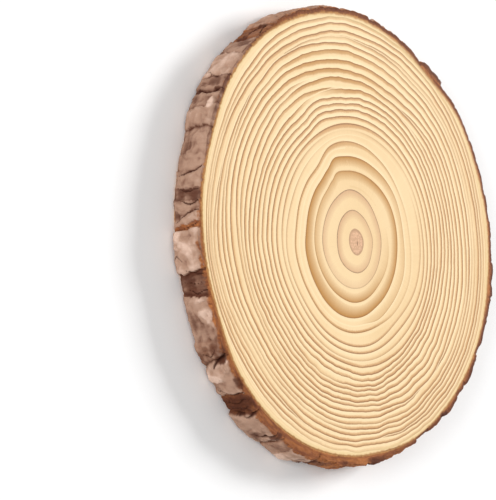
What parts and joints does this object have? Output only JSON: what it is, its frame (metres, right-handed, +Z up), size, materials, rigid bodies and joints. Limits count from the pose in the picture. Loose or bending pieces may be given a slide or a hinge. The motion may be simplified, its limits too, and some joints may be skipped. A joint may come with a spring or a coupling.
{
  "type": "wood slice",
  "caption": "Round cross cut of a trunk with growth rings and bark left on, lying flat as a board, coaster or rest for a pot or plate.",
  "frame": {"origin": "bottom centre of the slice's bounding box, in the plane of the lower sawn face", "axes": "+Z up, square to both sawn faces, through the face that the picture shows; +X and +Y lie in the sawn face"},
  "size_m": [0.228, 0.2288, 0.018],
  "materials": {
    "wood": "dry sawn softwood, matt",
    "bark": "rough flaking bark, matt"
  },
  "bodies": {
    "root": {"wood_slice": "wood"}
  },
  "joints": []
}
